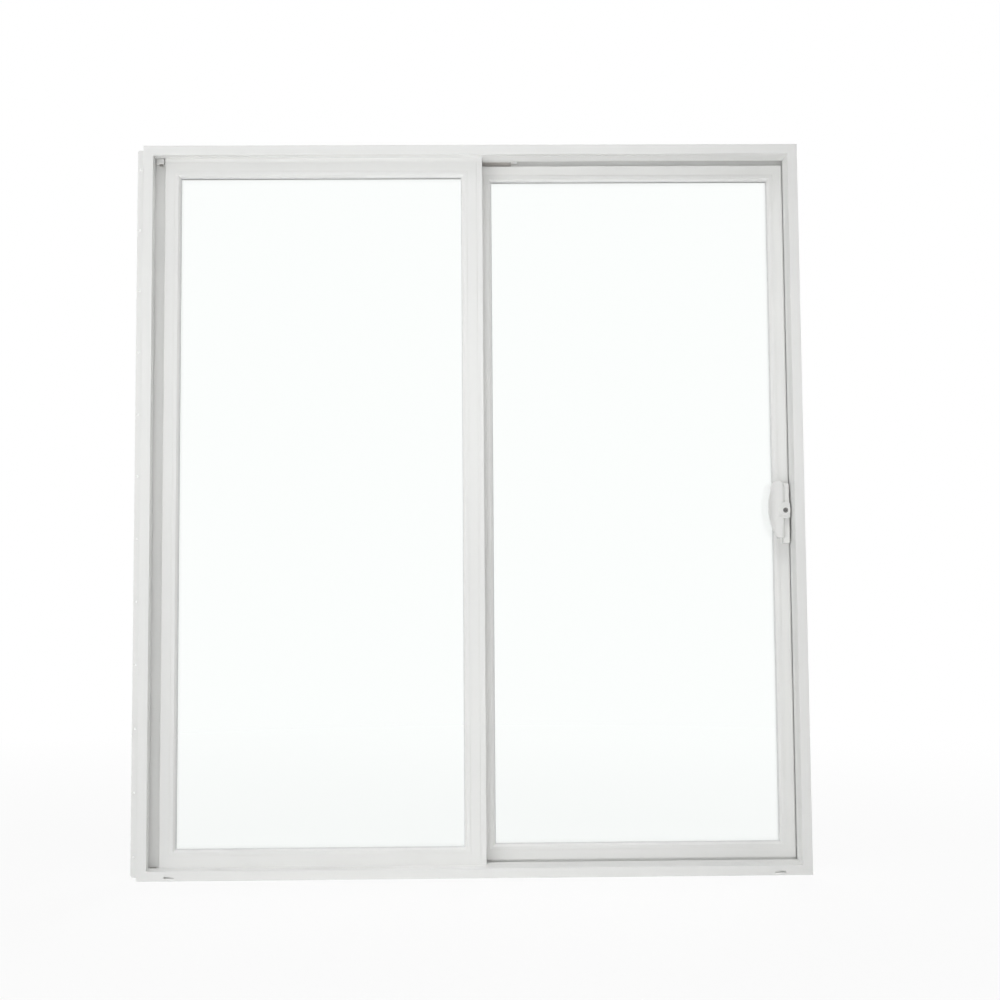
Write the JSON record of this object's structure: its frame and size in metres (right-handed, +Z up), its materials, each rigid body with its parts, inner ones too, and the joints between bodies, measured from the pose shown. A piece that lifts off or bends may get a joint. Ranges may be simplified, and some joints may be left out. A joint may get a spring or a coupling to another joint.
{
  "type": "glass sliding patio door",
  "caption": "White vinyl sliding patio door: framed fixed glass panel beside a rolling glass panel with a pull handle, key lock and punched nailing strip.",
  "frame": {"origin": "centre of the sill's underside, halfway along the frame and halfway through its depth", "axes": "+X to the right as seen from outdoors, +Y into the building, +Z up"},
  "size_m": [1.837, 0.154, 2.007],
  "materials": {
    "gasket": "matt dark grey glazing strip",
    "glass": "clear float glass",
    "handle": "white moulded and enamelled",
    "lock_metal": "nickel plated",
    "spacer": "mill spacer bar",
    "steel": "zinc plated",
    "track": "clear anodised",
    "vinyl": "satin white rigid vinyl",
    "wheel": "turned"
  },
  "bodies": {
    "frame": {"fixed_bottom_bead": "vinyl", "fixed_bottom_rail": "vinyl", "fixed_gasket": "gasket", "fixed_indoor_pane": "glass", "fixed_interlock": "vinyl", "fixed_jamb_stile": "vinyl", "fixed_left_bead": "vinyl", "fixed_meeting_stile": "vinyl", "fixed_outdoor_pane": "glass", "fixed_right_bead": "vinyl", "fixed_spacer": "spacer", "fixed_top_bead": "vinyl", "fixed_top_rail": "vinyl", "head": "vinyl", "head_cover": "vinyl", "head_filler": "vinyl", "left_jamb": "vinyl", "nailing_fin": "vinyl", "right_jamb": "vinyl", "right_jamb_cover": "vinyl", "roller_track": "track", "sill": "vinyl", "sill_cover": "vinyl", "sill_filler": "vinyl", "strike_plate": "steel"},
    "sliding_panel": {"indoor_handle": "handle", "indoor_thumb_lever": "handle", "lock_faceplate": "steel", "outdoor_handle": "handle", "roller_housings": "steel", "roller_wheels": "wheel", "sliding_bottom_bead": "vinyl", "sliding_bottom_rail": "vinyl", "sliding_gasket": "gasket", "sliding_indoor_pane": "glass", "sliding_interlock": "vinyl", "sliding_left_bead": "vinyl", "sliding_lock_stile": "vinyl", "sliding_meeting_stile": "vinyl", "sliding_outdoor_pane": "glass", "sliding_right_bead": "vinyl", "sliding_spacer": "spacer", "sliding_top_bead": "vinyl", "sliding_top_rail": "vinyl"},
    "key_plug": {"key_plug": "lock_metal"}
  },
  "joints": [
    {"name": "panel_slide", "type": "slide", "parent": "frame", "child": "sliding_panel", "axis": [-1, 0, 0], "range_m": [0, 0.78]},
    {"name": "key_turn", "type": "hinge", "parent": "sliding_panel", "child": "key_plug", "pos_m": [0.863, 0.002, 0.986], "axis": [0, 1, 0], "range_deg": [0, 90]}
  ]
}
